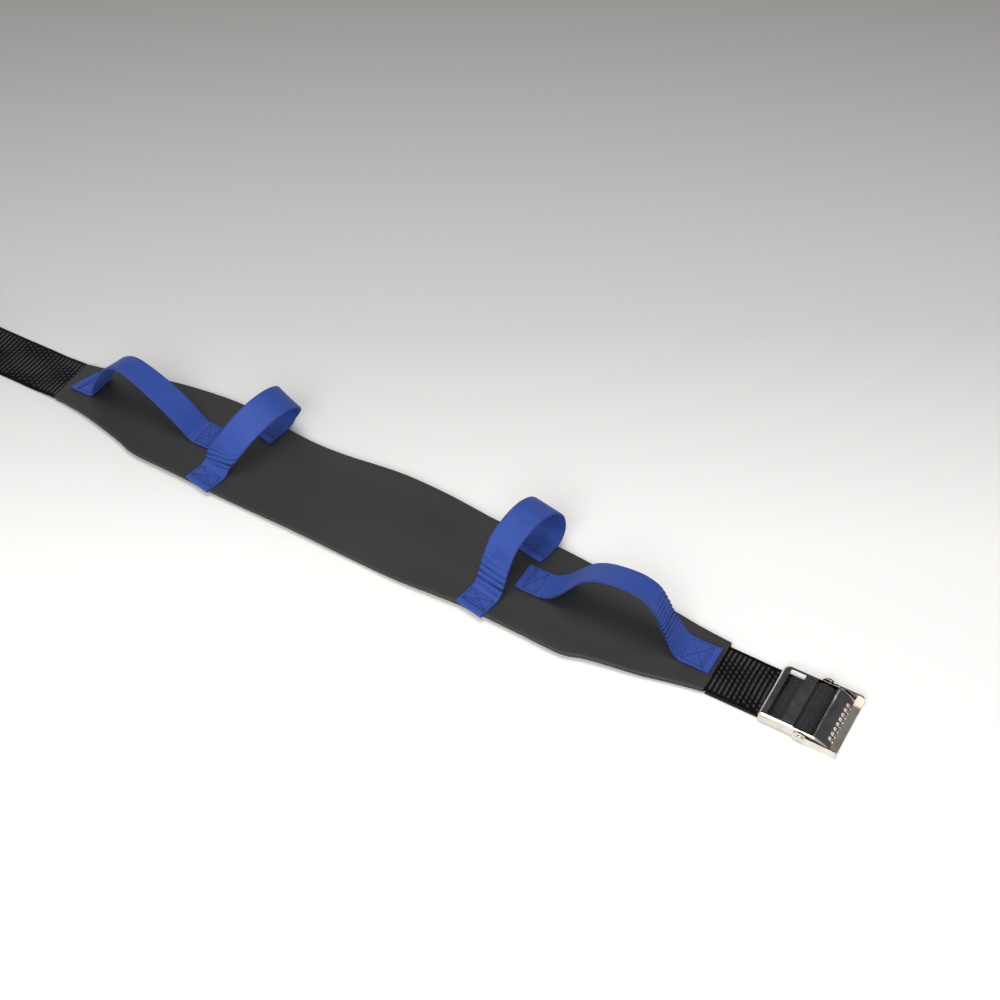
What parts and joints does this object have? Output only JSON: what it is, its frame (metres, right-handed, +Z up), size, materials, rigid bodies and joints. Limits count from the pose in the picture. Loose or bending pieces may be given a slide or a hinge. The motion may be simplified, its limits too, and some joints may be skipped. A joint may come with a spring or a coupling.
{
  "type": "gait belt",
  "caption": "Padded transfer belt of black vinyl on webbing, with upright blue grab handles and a toothed metal cam buckle for walking and lifting a patient.",
  "frame": {"origin": "centre of the pad's underside, on the surface that the belt lies on", "axes": "+X along the belt towards the buckle, +Y across the belt, +Z up out of the face that carries the handles"},
  "size_m": [0.947, 0.1158, 0.0664],
  "materials": {
    "vinyl": "matte coated vinyl with a fine grain",
    "lining": "matte coated vinyl",
    "foam": "closed-cell foam sheet",
    "webbing_black": "ribbed woven webbing",
    "webbing_blue": "flat woven webbing",
    "thread": "sewing thread",
    "nickel": "bright nickel plate"
  },
  "bodies": {
    "belt": {"front_cover": "vinyl", "foam_pad": "foam", "core_webbing": "webbing_black", "back_cover": "lining", "handle_1_first_tab": "webbing_blue", "handle_1_second_tab": "webbing_blue", "handle_1_first_stitch": "thread", "handle_1_second_stitch": "thread", "handle_2_first_tab": "webbing_blue", "handle_2_second_tab": "webbing_blue", "handle_2_first_stitch": "thread", "handle_2_second_stitch": "thread", "handle_3_first_tab": "webbing_blue", "handle_3_second_tab": "webbing_blue", "handle_3_first_stitch": "thread", "handle_3_second_stitch": "thread", "handle_4_first_tab": "webbing_blue", "handle_4_second_tab": "webbing_blue", "handle_4_first_stitch": "thread", "handle_4_second_stitch": "thread"},
    "tail": {"tail_strap": "webbing_black", "tail_roll": "webbing_black"},
    "buckle_link": {"buckle_strap": "webbing_black"},
    "buckle_frame": {"buckle_toothed_frame": "nickel"},
    "buckle_base": {"buckle_base_jaw": "nickel", "buckle_hinge_pin": "nickel"},
    "handle_1": {"handle_1_loop": "webbing_blue"},
    "handle_2": {"handle_2_loop": "webbing_blue"},
    "handle_3": {"handle_3_loop": "webbing_blue"},
    "handle_4": {"handle_4_loop": "webbing_blue"}
  },
  "joints": [
    {"name": "tail_fold", "type": "hinge", "parent": "belt", "child": "tail", "pos_m": [-0.3348, 0, 0.0021], "axis": [0, 1, 0], "range_deg": [0, 80]},
    {"name": "buckle_strap_fold", "type": "hinge", "parent": "belt", "child": "buckle_link", "pos_m": [0.3348, 0, 0.0021], "axis": [0, -1, 0], "range_deg": [0, 70]},
    {"name": "buckle_frame_swing", "type": "hinge", "parent": "buckle_link", "child": "buckle_frame", "pos_m": [0.42, 0, 0.0062], "axis": [0, 1, 0], "range_deg": [0, 50]},
    {"name": "buckle_jaw_open", "type": "hinge", "parent": "buckle_frame", "child": "buckle_base", "pos_m": [0.42, 0, 0.0062], "axis": [0, 1, 0], "range_deg": [0, 50]},
    {"name": "handle_1_flop", "type": "hinge", "parent": "belt", "child": "handle_1", "pos_m": [-0.303, 0.004, 0.0074], "axis": [1, 0, 0], "range_deg": [-34, 34], "stiffness_Nm_per_rad": 0.03, "deforming": ["handle_1_first_tab", "handle_1_second_tab"]},
    {"name": "handle_2_flop", "type": "hinge", "parent": "belt", "child": "handle_2", "pos_m": [-0.148, -0.028, 0.0074], "axis": [0.1822, 0.9833, 0], "range_deg": [-45, 14], "stiffness_Nm_per_rad": 0.03, "deforming": ["handle_2_first_tab", "handle_2_second_tab"]},
    {"name": "handle_3_flop", "type": "hinge", "parent": "belt", "child": "handle_3", "pos_m": [0.1325, -0.028, 0.0074], "axis": [0.1822, 0.9833, 0], "range_deg": [-34, 34], "stiffness_Nm_per_rad": 0.03, "deforming": ["handle_3_first_tab", "handle_3_second_tab"]},
    {"name": "handle_4_flop", "type": "hinge", "parent": "belt", "child": "handle_4", "pos_m": [0.171, 0.0035, 0.0074], "axis": [1, 0, 0], "range_deg": [-34, 34], "stiffness_Nm_per_rad": 0.03, "deforming": ["handle_4_first_tab", "handle_4_second_tab"]}
  ]
}
